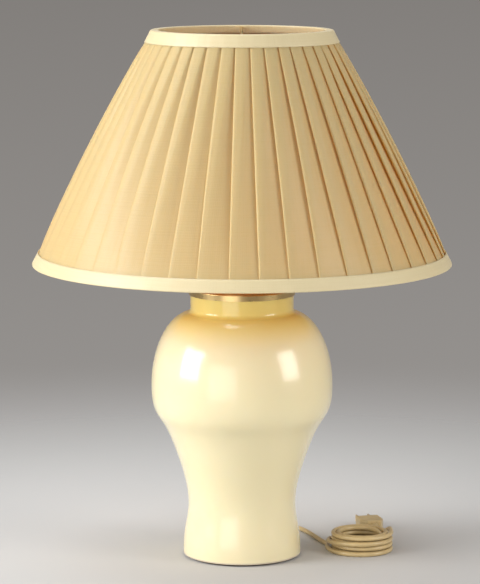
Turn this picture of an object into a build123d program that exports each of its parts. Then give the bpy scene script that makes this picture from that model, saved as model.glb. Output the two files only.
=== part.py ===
from build123d import *

import os
from math import acos, cos, degrees, pi, radians, sin, sqrt, tan

# A ginger jar table lamp with a knife-pleated shade, in millimetres.
# The origin is on the table under the middle of the jar, +Z is up, the front of the lamp
# faces -Y and the cord leaves the foot at the back, towards +Y.

# ---------------------------------------------------------------- driving dimensions
# Jar: glazed outline, from the table up
felt_thickness = 2.0
felt_margin = 2.2           # how far the felt stays inside the foot
foot_radius = 57.2
foot_band = 8.0             # straight band at the bottom of the foot
waist_radius = 52.4
waist_height = 48.0
flare_radius = 62.5
flare_height = 99.0
haunch_radius = 76.3
haunch_height = 131.0
belly_radius = 88.0
belly_height = 168.0
shoulder_rise = 72.0        # from the belly to the root of the neck
neck_radius = 50.0
neck_height = 22.0          # from the root of the neck to its mouth
neck_root_fillet = 4.0
jar_wall = 5.0
recess_height = 32.0        # hollow under the jar, where the cord turns up
recess_wall = 12.0          # width of the foot ring that stands on the felt
floor_thickness = 6.0

# Threaded lamp pipe and what clamps the jar on it
pipe_radius = 4.9
pipe_bore_radius = 3.4
pipe_hole_clearance = 0.15
pipe_stick_out = 3.0        # pipe below the bottom nut
pipe_top_gap = 0.5          # pipe stops this far below the top of the socket's hub
plate_washer_radius = 19.0
plate_washer_thickness = 1.6
lock_washer_radius = 8.5
lock_washer_thickness = 1.0
lock_washer_teeth = 10
lock_washer_slot_width = 1.4
lock_washer_slot_depth = 1.1
nut_across_flats = 14.3
nut_thickness = 4.0

# Brass cap, neck and harp saddle
cap_sheet = 1.2
cap_overhang = 1.4          # the cap's edge beyond the neck of the jar
cap_lip_depth = 5.0
cap_flat_width = 5.0
cap_dome_rise = 10.0
cap_boss_radius = 14.0
spacer_radius = 10.5
spacer_height = 12.0
spacer_groove_radius = 3.8
spacer_groove_centre = 1.5  # how far its centre lies outside the spacer
saddle_sheet = 1.8
saddle_width = 12.0
saddle_bend_radius = 4.0
saddle_arm_height = 13.0
stub_width = 3.0
stub_height = 9.0
harp_leg_offset = 23.0      # from the lamp's axis to each leg of the harp

# Harp
harp_height = 203.0         # from the saddle to the seat of the shade
harp_wire_radius = 1.6
harp_ferrule_radius = 2.9
harp_ferrule_height = 12.0
harp_stub_clearance = 0.25
ferrule_lift = 3.0          # from the saddle's arm to the ferrule
wire_in_ferrule = 1.0       # where the legs' wire starts inside its ferrule
harp_flare_radius = 20.0
harp_flare_angle = 42.0
harp_crown_radius = 40.0
seat_radius = 7.0
seat_thickness = 2.4
seat_cover = 0.4            # metal of the seat above the bow's wire
seat_hub_radius = 5.0
seat_hub_drop = 1.0         # hub of the seat below the bow's wire
stud_radius = 3.1
stud_height = 12.0
stud_chamfer = 0.6
sleeve_clearance = 0.1
sleeve_wall = 1.0
sleeve_height = 13.0
sleeve_travel = 12.0        # lift that frees the ferrule
leg_above_sleeve = 6.0      # straight leg left over a lifted sleeve

# Socket
shell_radius = 17.15
shell_sheet = 0.6
shell_height = 45.0
shell_in_cap = 5.0          # how far the shell reaches down into the cap
socket_cap_sheet = 0.7
socket_cap_hub_radius = 7.2
socket_cap_hub_height = 6.2
socket_cap_height = 17.0
socket_cap_slope = 4.0      # rise of the cap's slope from its hub to its wall
socket_cap_clearance = 0.05
insulator_gap = 0.15
insulator_sheet = 0.8
insulator_lift = 1.0        # above the lower end of the shell
insulator_drop = 1.5        # below its upper end
socket_core_radius = 14.4
socket_core_flat = 11.5
socket_core_height = 18.0
socket_core_lift = 15.2     # from the saddle to the underside of the core
flat_height = 11.0
screw_shell_bore = 13.5
screw_shell_sheet = 0.5
screw_shell_height = 20.0
screw_shell_hole_radius = 7.5
contact_width = 5.0
contact_sheet = 0.5
contact_rise = 2.4
contact_bend = 3.0          # from its middle to the bend at its top
contact_hook = 0.3          # fall of its end beyond the bend
terminal_head_radius = 3.2
terminal_head_height = 1.6
terminal_shank_radius = 1.6
terminal_shank_depth = 4.0
terminal_wire_clearance = 0.1
set_screw_radius = 1.5
set_screw_height = 2.6      # from the saddle's top to the screw's axis
set_screw_stick_out = 2.0
screw_slot_width = 0.6
screw_slot_depth = 0.6

# Turn-knob switch
knob_radius = 6.5
knob_length = 12.0
knob_gap = 1.2              # between the socket shell and the knob
knob_flutes = 12
knob_flute_radius = 1.1
knob_taper = 2.0
knob_edge = 1.2
knob_height = 23.5          # from the saddle to the knob's axis
stem_radius = 1.9
stem_clearance = 0.05
stem_hole_clearance = 0.7
stem_depth = 6.0            # how far the stem reaches into the core
stem_end_gap = 0.3          # between the stem's end and the bottom of its hole
stem_grip = 8.0             # how far it reaches into the knob

# Bulb
bulb_length = 108.0
bulb_radius = 30.0
bulb_glass = 0.9
bulb_cement_gap = 0.1
bulb_thread_radius = 13.2
bulb_thread_pitch = 3.6
bulb_thread_depth = 0.7
bulb_thread_turns = 5
bulb_cap_sheet = 0.4
bulb_skirt_radius = 13.9
bulb_skirt_height = 3.0
bulb_tip_radius = 4.6
bulb_tip_height = 1.6
bulb_tip_bulge = 0.5
bulb_insulator_height = 3.2
bulb_insulator_inside = 1.0 # the part of it that the cap hides
bulb_contact_gap = 0.3

# Shade: a coolie cone, 16 in across below, 7 in above, on a 10 in slant
shade_bottom_radius = 203.0
shade_top_radius = 87.5
shade_height = 225.0
shade_recess = 22.0         # washer of the spider below the top edge
pleat_count = 44
pleat_step = 2.0
pleat_nose = 0.09           # share of one pleat taken by its turned edge
pleat_return = 0.144        # share of one pleat where the step in ends
pleat_fabric = 0.6
inner_sides = 4             # flats of the cloth's inner face for each pleat
liner_sheet = 0.8
layer_gap = 0.1
ring_wire_radius = 1.5
spider_wire_radius = 1.5
spider_arms = 3
spider_washer_radius = 12.0
spider_washer_thickness = 1.6
spider_face_margin = 1.0    # flat face of the washer beyond the finial
spider_bore_clearance = 0.08
spider_arm_root = 3.0       # how far an arm starts inside the washer's edge
spider_arm_lift = 0.3       # its start above the middle of the washer
trim_width = 12.0
trim_inner_width = 8.0
trim_fabric = 0.6
trim_notch_clearance = 0.4
tape_clearance = 0.05

# Finial: a low knurled nut that stays below the edge of the shade
finial_radius = 8.0
finial_height = 13.5
finial_cover = 1.6          # metal above the end of the stud
finial_knurls = 24
finial_knurl_radius = 0.5
finial_clearance = 0.08
finial_gap = 0.1
finial_grip_height = 7.4
finial_neck_radius = 5.8
finial_step = 1.0           # slope between the grip and the dome
stud_end_gap = 0.2

# Cord, its bushing in the foot and its plug
cord_radius = 2.25
cord_exit_height = 10.0
cord_inner_bend = 18.0
cord_end_height = 7.4       # above the saddle, where the sheath stops in the socket
core_wire_radius = 0.9
core_wire_bend = 2.0
core_wire_apart = 0.15      # half the gap between the two
core_wire_rise = 0.2        # their slope between the sheath and the terminals
core_wire_flat_gap = 0.05   # to the flat of the core
core_wire_screw_gap = 0.1   # to the terminal screw
cord_total_length = 1800.0  # what the free cord is meant to measure, compared at the end
cord_table_gap = 0.05
bushing_radius = 5.0
bushing_hole_clearance = 0.15
bushing_flange_radius = 7.0
bushing_flange_thickness = 2.0
bushing_nose_radius = 3.4
bushing_nose_length = 20.0
bushing_cord_clearance = 0.1
bushing_inset = 1.0         # its inner end beyond the hollow of the foot
bushing_face_gap = 0.05
coil_centre_x = 117.0
coil_centre_y = 14.0
coil_outer_radius = 32.45   # centre line of the outermost turn
coil_turns_per_layer = 2.5
coil_layers = 4
coil_turns = 9.5
coil_climb = 0.5            # share of a turn in which the cord climbs to the next layer
coil_turn_gap = 0.45
coil_layer_gap = 0.5
plug_heading = 104.0        # direction of the plug on the table, from +X
plug_cord_x = 136.0
plug_cord_y = 77.0
plug_run = 13.0             # straight cord in front of the plug
plug_length = 27.0
plug_shoulder_length = 9.5
plug_width = 24.0
plug_thickness = 12.5
plug_waist_width = 15.0
plug_edge = 2.0
plug_collar_radius = 4.4
plug_collar_length = 9.0
plug_collar_wall = 1.0      # round the cord where it comes in
plug_collar_lap = 1.0       # of the collar into the body
blade_spacing = 12.7
blade_width = 6.35
blade_thickness = 1.5
blade_length = 17.0
blade_root = 6.0            # blade inside the plug's body
blade_hole_radius = 1.6
blade_hole_place = 12.7     # from the plug's face

os.makedirs("parts", exist_ok=True)


def finish(part, label):
    """Name a finished piece and write it."""
    part.label = label
    export_step(part, "parts/" + label + ".step")


# ---------------------------------------------------------------- heights that follow
mouth_height = belly_height + shoulder_rise + neck_height
recess_radius = foot_radius - recess_wall
floor_top = recess_height + floor_thickness
plate_washer_z = recess_height - plate_washer_thickness
lock_washer_z = plate_washer_z - lock_washer_thickness
bottom_nut_z = lock_washer_z - nut_thickness
pipe_bottom = bottom_nut_z - pipe_stick_out
cap_top = mouth_height + cap_sheet + cap_dome_rise
saddle_z = cap_top + spacer_height
socket_z = saddle_z + saddle_sheet
pipe_top = socket_z + socket_cap_hub_height - pipe_top_gap
pipe_hole_radius = pipe_radius + pipe_hole_clearance
seat_z = socket_z + harp_height
washer_z = seat_z
shade_top = washer_z + shade_recess
shade_bottom = shade_top - shade_height
core_z = socket_z + socket_core_lift
screw_shell_z = core_z + socket_core_height
bulb_z = screw_shell_z + screw_shell_sheet + contact_rise + bulb_contact_gap
knob_z = socket_z + knob_height
set_screw_z = socket_z + set_screw_height


# ---------------------------------------------------------------- jar
def jar_half(inset):
    """Half section of the jar between its axis and a line drawn `inset` inside the glaze."""
    with BuildSketch(Plane.XZ) as half:
        with BuildLine():
            foot = Line((foot_radius - inset, felt_thickness), (foot_radius - inset, foot_band))
            body = Spline(
                foot @ 1,
                (waist_radius - inset, waist_height),
                (flare_radius - inset, flare_height),
                (haunch_radius - inset, haunch_height),
                (belly_radius - inset, belly_height),
                tangents=[(0, 1), (0, 1)],
            )
            reach = belly_radius - neck_radius + 2
            shoulder = EllipticalCenterArc(
                (neck_radius - inset - 2, belly_height),
                reach,
                shoulder_rise - inset,
                start_angle=0,
                arc_size=degrees(acos(2 / reach)),
            )
            neck = Line(shoulder @ 1, (neck_radius - inset, mouth_height))
            top = Line(neck @ 1, (0, mouth_height))
            axis = Line(top @ 1, (0, felt_thickness))
            Line(axis @ 1, foot @ 0)
        make_face()
    return half.sketch


with BuildPart() as jar_hollow:
    with BuildSketch(Plane.XZ) as hollow_half:
        add(jar_half(jar_wall))
        with Locations((0, floor_top)):
            Rectangle(
                2 * belly_radius,
                floor_top,
                align=(Align.CENTER, Align.MAX),
                mode=Mode.SUBTRACT,
            )
    revolve(axis=Axis.Z)

with BuildPart() as jar:
    with BuildSketch(Plane.XZ):
        add(jar_half(0))
    revolve(axis=Axis.Z)
    neck_root = jar.edges().filter_by(GeomType.CIRCLE).group_by(Axis.Z)[-2]
    fillet(neck_root, radius=neck_root_fillet)
    add(jar_hollow.part, mode=Mode.SUBTRACT)
    with BuildSketch(Plane.XY.offset(felt_thickness)):
        Circle(recess_radius)
    extrude(amount=recess_height - felt_thickness, mode=Mode.SUBTRACT)
    with BuildSketch(Plane.XY.offset(recess_height)):
        Circle(pipe_hole_radius)
    extrude(amount=floor_thickness, mode=Mode.SUBTRACT)
    with BuildSketch(Plane.XZ.offset(-recess_radius / 2)):
        with Locations((0, cord_exit_height)):
            Circle(bushing_radius + bushing_hole_clearance)
    extrude(amount=-foot_radius, mode=Mode.SUBTRACT)
    rim = jar.edges().filter_by(GeomType.CIRCLE).group_by(Axis.Z)[-1]
    fillet(rim, radius=jar_wall * 0.3)
finish(jar.part, "jar")

with BuildPart() as felt_pad:
    with BuildSketch():
        Circle(foot_radius - felt_margin)
    extrude(amount=felt_thickness)
finish(felt_pad.part, "felt_pad")

# ---------------------------------------------------------------- pipe and its hardware
with BuildPart() as lamp_pipe:
    with BuildSketch(Plane.XY.offset(pipe_bottom)):
        Circle(pipe_radius)
        Circle(pipe_bore_radius, mode=Mode.SUBTRACT)
    extrude(amount=pipe_top - pipe_bottom)
finish(lamp_pipe.part, "lamp_pipe")

with BuildPart() as plate_washer:
    with BuildSketch(Plane.XY.offset(plate_washer_z)):
        Circle(plate_washer_radius)
        Circle(pipe_hole_radius, mode=Mode.SUBTRACT)
    extrude(amount=plate_washer_thickness)
finish(plate_washer.part, "plate_washer")

with BuildPart() as lock_washer:
    with BuildSketch(Plane.XY.offset(lock_washer_z)):
        Circle(lock_washer_radius)
        Circle(pipe_hole_radius, mode=Mode.SUBTRACT)
        with PolarLocations(lock_washer_radius, lock_washer_teeth):
            Rectangle(2 * lock_washer_slot_depth, lock_washer_slot_width, mode=Mode.SUBTRACT)
    extrude(amount=lock_washer_thickness)
finish(lock_washer.part, "lock_washer")

with BuildPart() as bottom_nut:
    with BuildSketch(Plane.XY.offset(bottom_nut_z)):
        RegularPolygon(nut_across_flats / 2, 6, major_radius=False)
        Circle(pipe_hole_radius, mode=Mode.SUBTRACT)
    extrude(amount=nut_thickness)
finish(bottom_nut.part, "bottom_nut")

# ---------------------------------------------------------------- brass cap and spacer
cap_radius = neck_radius + cap_overhang
with BuildPart() as vase_cap:
    with BuildSketch(Plane.XZ):
        with BuildLine():
            lip_out = Line((cap_radius, mouth_height - cap_lip_depth), (cap_radius, mouth_height))
            edge = TangentArc(
                lip_out @ 1,
                (cap_radius - cap_sheet, mouth_height + cap_sheet),
                tangent=(0, 1),
            )
            flat = Line(edge @ 1, (cap_radius - cap_flat_width, mouth_height + cap_sheet))
            dome = Spline(
                flat @ 1,
                (cap_boss_radius, cap_top),
                tangents=[(-0.5, 1), (-1, 0)],
            )
            boss = Line(dome @ 1, (pipe_hole_radius, cap_top))
            bore = Line(boss @ 1, (pipe_hole_radius, cap_top - cap_sheet))
            under_boss = Line(bore @ 1, (cap_boss_radius, cap_top - cap_sheet))
            under_dome = Spline(
                under_boss @ 1,
                (cap_radius - cap_flat_width - cap_sheet, mouth_height),
                tangents=[(1, 0), (0.5, -1)],
            )
            seat = Line(under_dome @ 1, (cap_radius - cap_sheet, mouth_height))
            lip_in = Line(seat @ 1, (cap_radius - cap_sheet, mouth_height - cap_lip_depth))
            Line(lip_in @ 1, lip_out @ 0)
        make_face()
    revolve(axis=Axis.Z)
finish(vase_cap.part, "vase_cap")

with BuildPart() as neck_spacer:
    with BuildSketch(Plane.XY.offset(cap_top)):
        Circle(spacer_radius)
        Circle(pipe_hole_radius, mode=Mode.SUBTRACT)
    extrude(amount=spacer_height)
    with BuildSketch(Plane.XZ):
        with Locations((spacer_radius + spacer_groove_centre, cap_top + spacer_height / 2)):
            Circle(spacer_groove_radius)
    revolve(axis=Axis.Z, mode=Mode.SUBTRACT)
finish(neck_spacer.part, "neck_spacer")

# ---------------------------------------------------------------- harp saddle
stub_z = saddle_z + saddle_arm_height
arm_out = harp_leg_offset + saddle_sheet / 2
arm_in = harp_leg_offset - saddle_sheet / 2
with BuildPart() as harp_saddle:
    with BuildSketch(Plane.XZ) as saddle_side:
        with Locations((0, saddle_z)):
            Rectangle(2 * arm_out, saddle_arm_height, align=(Align.CENTER, Align.MIN))
        fillet(saddle_side.vertices().group_by(Axis.Y)[0], radius=saddle_bend_radius)
    extrude(amount=saddle_width / 2, both=True)
    with BuildSketch(Plane.XZ) as saddle_gap:
        with Locations((0, saddle_z + saddle_sheet)):
            Rectangle(2 * arm_in, saddle_arm_height, align=(Align.CENTER, Align.MIN))
        bends = saddle_gap.vertices().group_by(Axis.Y)[0]
        fillet(bends, radius=saddle_bend_radius - saddle_sheet)
    extrude(amount=saddle_width, both=True, mode=Mode.SUBTRACT)
    with BuildSketch(Plane.XY.offset(stub_z)):
        with Locations((-harp_leg_offset, 0), (harp_leg_offset, 0)):
            Rectangle(saddle_sheet, stub_width)
    extrude(amount=stub_height)
    with BuildSketch(Plane.XY.offset(saddle_z)):
        Circle(pipe_hole_radius)
    extrude(amount=saddle_sheet, mode=Mode.SUBTRACT)
finish(harp_saddle.part, "harp_saddle")

# ---------------------------------------------------------------- harp
ferrule_z = stub_z + ferrule_lift
ferrule_top = ferrule_z + harp_ferrule_height
stub_hole_radius = sqrt(saddle_sheet**2 + stub_width**2) / 2 + harp_stub_clearance
stub_hole_depth = stub_z + stub_height - ferrule_z + harp_stub_clearance

# Each side of the bow is a straight leg as long as its sleeve needs, a small arc outwards,
# a long arc back in and the crown. The long arc's radius makes them meet at the top.
leg_top = stub_z + sleeve_height + sleeve_travel + leg_above_sleeve
bow_top = seat_z - harp_wire_radius - seat_cover
flare_sin = sin(radians(harp_flare_angle))
flare_cos = cos(radians(harp_flare_angle))
flare_x = harp_leg_offset + harp_flare_radius * (1 - flare_cos)
crown_rise = bow_top - harp_crown_radius - leg_top - harp_flare_radius * flare_sin
harp_side_radius = (crown_rise**2 - harp_crown_radius**2 + flare_x**2) / (
    2 * (crown_rise * flare_sin - harp_crown_radius + flare_x * flare_cos)
)
side_dx = harp_side_radius * flare_cos - flare_x
side_turn = degrees(acos(side_dx / (harp_side_radius - harp_crown_radius)))
hub_bottom = bow_top - harp_wire_radius - seat_hub_drop

with BuildPart() as harp_bow:
    with BuildLine(Plane.XZ) as half_bow:
        leg = Line((harp_leg_offset, ferrule_top - wire_in_ferrule), (harp_leg_offset, leg_top))
        out = JernArc(leg @ 1, leg % 1, harp_flare_radius, -harp_flare_angle)
        side = JernArc(out @ 1, out % 1, harp_side_radius, harp_flare_angle + side_turn)
        crown = JernArc(side @ 1, side % 1, harp_crown_radius, 90 - side_turn)
        mirror(about=Plane.YZ)
    with BuildSketch(Plane.XY.offset(ferrule_top - wire_in_ferrule)):
        with Locations((harp_leg_offset, 0)):
            Circle(harp_wire_radius)
    sweep(path=half_bow.wire())
    with BuildSketch(Plane.XY.offset(ferrule_z)):
        with Locations((-harp_leg_offset, 0), (harp_leg_offset, 0)):
            Circle(harp_ferrule_radius)
    extrude(amount=harp_ferrule_height)
    with BuildSketch(Plane.XY.offset(ferrule_z)):
        with Locations((-harp_leg_offset, 0), (harp_leg_offset, 0)):
            Circle(stub_hole_radius)
    extrude(amount=stub_hole_depth, mode=Mode.SUBTRACT)
finish(harp_bow.part, "harp_bow")

with BuildPart() as harp_stud:
    with BuildSketch(Plane.XY.offset(hub_bottom)):
        Circle(seat_hub_radius)
    extrude(amount=seat_z - seat_thickness / 2 - hub_bottom)
    with BuildSketch(Plane.XY.offset(seat_z - seat_thickness / 2)):
        RegularPolygon(seat_radius, 6)
    extrude(amount=seat_thickness / 2)
    with BuildSketch(Plane.XY.offset(seat_z)):
        Circle(stud_radius)
    extrude(amount=stud_height)
    chamfer(harp_stud.edges().group_by(Axis.Z)[-1], length=stud_chamfer)
    add(harp_bow.part, mode=Mode.SUBTRACT)
finish(harp_stud.part, "harp_stud")

for side_name, side_sign in (("left", -1), ("right", 1)):
    with BuildPart() as harp_sleeve:
        with BuildSketch(Plane.XY.offset(stub_z)):
            with Locations((side_sign * harp_leg_offset, 0)):
                Circle(harp_ferrule_radius + sleeve_clearance + sleeve_wall)
                Circle(harp_ferrule_radius + sleeve_clearance, mode=Mode.SUBTRACT)
        extrude(amount=sleeve_height)
        rims = harp_sleeve.edges().group_by(Axis.Z)[-1].sort_by(SortBy.RADIUS)[-1]
        fillet(rims, radius=sleeve_wall * 0.4)
    finish(harp_sleeve.part, "harp_sleeve_" + side_name)

# ---------------------------------------------------------------- socket
cap_inside = shell_radius + socket_cap_clearance
with BuildPart() as socket_cap:
    with BuildSketch(Plane.XZ):
        with BuildLine():
            hub_top = socket_z + socket_cap_hub_height
            Polyline(
                (pipe_hole_radius, socket_z),
                (socket_cap_hub_radius, socket_z),
                (socket_cap_hub_radius, hub_top - 2 * socket_cap_sheet),
                (cap_inside + socket_cap_sheet, hub_top + socket_cap_slope),
                (cap_inside + socket_cap_sheet, socket_z + socket_cap_height),
                (cap_inside, socket_z + socket_cap_height),
                (cap_inside, hub_top + socket_cap_slope + socket_cap_sheet),
                (socket_cap_hub_radius, hub_top),
                (pipe_hole_radius, hub_top),
                close=True,
            )
        make_face()
    revolve(axis=Axis.Z)
    with BuildSketch(Plane.XZ):
        with Locations((0, set_screw_z)):
            Circle(set_screw_radius)
    extrude(amount=-socket_cap_hub_radius, mode=Mode.SUBTRACT)
finish(socket_cap.part, "socket_cap")

set_screw_end = socket_cap_hub_radius + set_screw_stick_out
with BuildPart() as set_screw:
    with BuildSketch(Plane.XZ.offset(-pipe_radius)):
        with Locations((0, set_screw_z)):
            Circle(set_screw_radius)
    extrude(amount=pipe_radius - set_screw_end)
    with BuildSketch(Plane.XZ.offset(-set_screw_end)):
        with Locations((0, set_screw_z)):
            Rectangle(2 * set_screw_radius, screw_slot_width)
    extrude(amount=screw_slot_depth, mode=Mode.SUBTRACT)
finish(set_screw.part, "set_screw")

shell_z = socket_z + socket_cap_height - shell_in_cap
insulator_radius = shell_radius - shell_sheet - insulator_gap
with BuildPart() as socket_shell:
    with BuildSketch(Plane.XY.offset(shell_z)):
        Circle(shell_radius)
        Circle(shell_radius - shell_sheet, mode=Mode.SUBTRACT)
    extrude(amount=shell_height)
    with BuildSketch(Plane.XZ):
        with Locations((shell_radius - shell_sheet / 2, shell_z + shell_height)):
            Circle(shell_sheet)
    revolve(axis=Axis.Z)
    with BuildSketch(Plane.XZ):
        with Locations((0, knob_z)):
            Circle(stem_radius + stem_hole_clearance)
    extrude(amount=shell_radius + 2, mode=Mode.SUBTRACT)
finish(socket_shell.part, "socket_shell")

with BuildPart() as insulating_sleeve:
    with BuildSketch(Plane.XY.offset(shell_z + insulator_lift)):
        Circle(insulator_radius)
        Circle(insulator_radius - insulator_sheet, mode=Mode.SUBTRACT)
    extrude(amount=shell_height - insulator_lift - insulator_drop)
    with BuildSketch(Plane.XZ):
        with Locations((0, knob_z)):
            Circle(stem_radius + stem_hole_clearance)
    extrude(amount=shell_radius + 2, mode=Mode.SUBTRACT)
finish(insulating_sleeve.part, "insulating_sleeve")

terminal_z = core_z + flat_height / 2
with BuildPart() as socket_core:
    with BuildSketch(Plane.XY.offset(core_z)):
        Circle(socket_core_radius)
    extrude(amount=socket_core_height)
    with BuildSketch(Plane.XY.offset(core_z)):
        Circle(socket_core_radius + 1)
        Rectangle(2 * socket_core_flat, 3 * socket_core_radius, mode=Mode.SUBTRACT)
    extrude(amount=flat_height, mode=Mode.SUBTRACT)
    with BuildSketch(Plane.XZ.offset(socket_core_radius - stem_depth)):
        with Locations((0, knob_z)):
            Circle(stem_radius + stem_clearance)
    extrude(amount=socket_core_radius, mode=Mode.SUBTRACT)
    with BuildSketch(Plane.YZ.offset(socket_core_flat - terminal_shank_depth)):
        with Locations((0, terminal_z)):
            Circle(terminal_shank_radius)
    extrude(amount=socket_core_radius, mode=Mode.SUBTRACT)
    with BuildSketch(Plane.YZ.offset(-socket_core_flat + terminal_shank_depth)):
        with Locations((0, terminal_z)):
            Circle(terminal_shank_radius)
    extrude(amount=-socket_core_radius, mode=Mode.SUBTRACT)
finish(socket_core.part, "socket_core")

terminal_lift = 2 * core_wire_radius + terminal_wire_clearance      # the wire lies under the screw's head
with BuildPart() as terminal_screws:
    with BuildSketch(Plane.YZ.offset(socket_core_flat - terminal_shank_depth)):
        with Locations((0, terminal_z)):
            Circle(terminal_shank_radius)
    extrude(amount=terminal_shank_depth + terminal_lift)
    with BuildSketch(Plane.YZ.offset(socket_core_flat + terminal_lift)):
        with Locations((0, terminal_z)):
            Circle(terminal_head_radius)
    extrude(amount=terminal_head_height)
    with BuildSketch(Plane.YZ.offset(socket_core_flat + terminal_lift + terminal_head_height)):
        with Locations((0, terminal_z)):
            Rectangle(screw_slot_width, 2 * terminal_head_radius)
    extrude(amount=-screw_slot_depth, mode=Mode.SUBTRACT)
    mirror(about=Plane.YZ)
finish(terminal_screws.part, "terminal_screws")

with BuildPart() as screw_shell:
    with BuildSketch(Plane.XY.offset(screw_shell_z)):
        Circle(screw_shell_bore + screw_shell_sheet)
    extrude(amount=screw_shell_height)
    with BuildSketch(Plane.XY.offset(screw_shell_z + screw_shell_sheet)):
        Circle(screw_shell_bore)
    extrude(amount=screw_shell_height, mode=Mode.SUBTRACT)
    with BuildSketch(Plane.XY.offset(screw_shell_z)):
        Circle(screw_shell_hole_radius)
    extrude(amount=screw_shell_sheet, mode=Mode.SUBTRACT)
finish(screw_shell.part, "screw_shell")

with BuildPart() as centre_contact:
    with BuildSketch(Plane.XZ):
        with BuildLine():
            rise_z = screw_shell_z + screw_shell_sheet + contact_rise
            Polyline(
                (-contact_width, screw_shell_z),
                (0, screw_shell_z),
                (contact_bend, rise_z - contact_sheet),
                (contact_width, rise_z - contact_sheet - contact_hook),
                (contact_width, rise_z - contact_hook),
                (contact_bend, rise_z),
                (0, screw_shell_z + contact_sheet),
                (-contact_width, screw_shell_z + contact_sheet),
                close=True,
            )
        make_face()
    extrude(amount=contact_width / 2, both=True)
finish(centre_contact.part, "centre_contact")

# ---------------------------------------------------------------- turn-knob switch
stem_start = socket_core_radius - stem_depth + stem_end_gap
knob_start = shell_radius + knob_gap
with BuildPart() as switch_stem:
    with BuildSketch(Plane.XZ.offset(stem_start)):
        with Locations((0, knob_z)):
            Circle(stem_radius)
    extrude(amount=knob_start + stem_grip - stem_start)
finish(switch_stem.part, "switch_stem")

with BuildPart() as switch_knob:
    with BuildSketch(Plane.XZ.offset(knob_start)):
        with Locations((0, knob_z)):
            Circle(knob_radius)
    extrude(amount=knob_length, taper=knob_taper)
    fillet(switch_knob.edges().group_by(Axis.Y)[0], radius=knob_edge)
    with BuildSketch(Plane.XZ.offset(knob_start)):
        with Locations((0, knob_z)):
            with PolarLocations(knob_radius + knob_flute_radius * 0.4, knob_flutes):
                Circle(knob_flute_radius)
    extrude(amount=knob_length, mode=Mode.SUBTRACT)
    with BuildSketch(Plane.XZ.offset(knob_start)):
        with Locations((0, knob_z)):
            Circle(stem_radius)
    extrude(amount=stem_grip, mode=Mode.SUBTRACT)
finish(switch_knob.part, "switch_knob")

# ---------------------------------------------------------------- bulb
thread_z = bulb_z + bulb_tip_height + bulb_insulator_height
bulb_cap_bore = bulb_thread_radius - bulb_thread_depth - bulb_cap_sheet
bulb_neck_radius = bulb_cap_bore - bulb_cement_gap
thread_top = thread_z + bulb_thread_turns * bulb_thread_pitch
bulb_top = bulb_z + bulb_length
bulb_middle = bulb_top - bulb_radius

with BuildPart() as bulb_cap:
    with BuildSketch(Plane.XZ):
        with BuildLine():
            thread_start = (bulb_thread_radius - bulb_thread_depth, thread_z)
            outline = [thread_start]
            for turn in range(bulb_thread_turns):
                crest_z = thread_z + (turn + 0.5) * bulb_thread_pitch
                root = (bulb_thread_radius - bulb_thread_depth, crest_z + bulb_thread_pitch / 2)
                ThreePointArc(outline[-1], (bulb_thread_radius, crest_z), root)
                outline.append(root)
            Polyline(
                outline[-1],
                (bulb_skirt_radius, thread_top + bulb_skirt_height),
                (bulb_cap_bore, thread_top + bulb_skirt_height),
                (bulb_cap_bore, thread_z),
                thread_start,
            )
        make_face()
    revolve(axis=Axis.Z)
finish(bulb_cap.part, "bulb_cap")

with BuildPart() as bulb_base:
    with BuildSketch(Plane.XZ):
        with BuildLine():
            tip_edge = (bulb_tip_radius, bulb_z + bulb_tip_height)
            ThreePointArc((0, bulb_z), (bulb_tip_radius * 0.7, bulb_z + bulb_tip_bulge), tip_edge)
            Polyline(
                tip_edge,
                (bulb_cap_bore, thread_z),
                (bulb_cap_bore, thread_z + bulb_insulator_inside),
                (0, thread_z + bulb_insulator_inside),
                (0, bulb_z),
            )
        make_face()
    revolve(axis=Axis.Z)
finish(bulb_base.part, "bulb_base")


def bulb_half(inset):
    """Half section of the bulb between its axis and a line drawn `inset` inside the glass."""
    with BuildSketch(Plane.XZ) as half:
        with BuildLine():
            stem = Line(
                (bulb_neck_radius - inset, thread_top + bulb_cement_gap),
                (bulb_neck_radius - inset, thread_top + bulb_skirt_height),
            )
            swell = Spline(
                stem @ 1,
                (bulb_radius - inset, bulb_middle),
                tangents=[(0, 1), (0, 1)],
                tangent_scalars=[1.4, 1.0],
            )
            crown = CenterArc((0, bulb_middle), bulb_radius - inset, 0, 90)
            axis = Line(crown @ 1, (0, thread_top + bulb_cement_gap))
            Line(axis @ 1, stem @ 0)
        make_face()
    return half.sketch


with BuildPart() as bulb_globe:
    with BuildSketch(Plane.XZ):
        add(bulb_half(0))
        add(bulb_half(bulb_glass), mode=Mode.SUBTRACT)
    revolve(axis=Axis.Z)
finish(bulb_globe.part, "bulb_globe")

# ---------------------------------------------------------------- shade
shade_slope = (shade_bottom_radius - shade_top_radius) / shade_height
slant = sqrt(1 + shade_slope**2)


def shade_radius(z, inset=0):
    """Radius of the shade at a height, `inset` inside the face of its trim."""
    return shade_bottom_radius - inset - (z - shade_bottom) * shade_slope


crest_inset = trim_fabric
valley_inset = crest_inset + pleat_step
pleat_inset = valley_inset + pleat_fabric
liner_inset = pleat_inset + layer_gap
liner_inner_inset = liner_inset + liner_sheet
ring_inset = liner_inner_inset + layer_gap + ring_wire_radius * slant
trim_inner_inset = ring_inset + ring_wire_radius * slant + layer_gap
skin_bottom = shade_bottom + trim_fabric + layer_gap
skin_top = shade_top - trim_fabric - layer_gap
bottom_ring_z = skin_bottom + ring_wire_radius
top_ring_z = skin_top - ring_wire_radius


def cone_shell(z_low, z_high, outer_inset, inner_inset):
    """Half section of a conical wall between two heights."""
    with BuildSketch(Plane.XZ) as half:
        with BuildLine():
            Polyline(
                (shade_radius(z_low, outer_inset), z_low),
                (shade_radius(z_high, outer_inset), z_high),
                (shade_radius(z_high, inner_inset), z_high),
                (shade_radius(z_low, inner_inset), z_low),
                close=True,
            )
        make_face()
    return half.sketch


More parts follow.
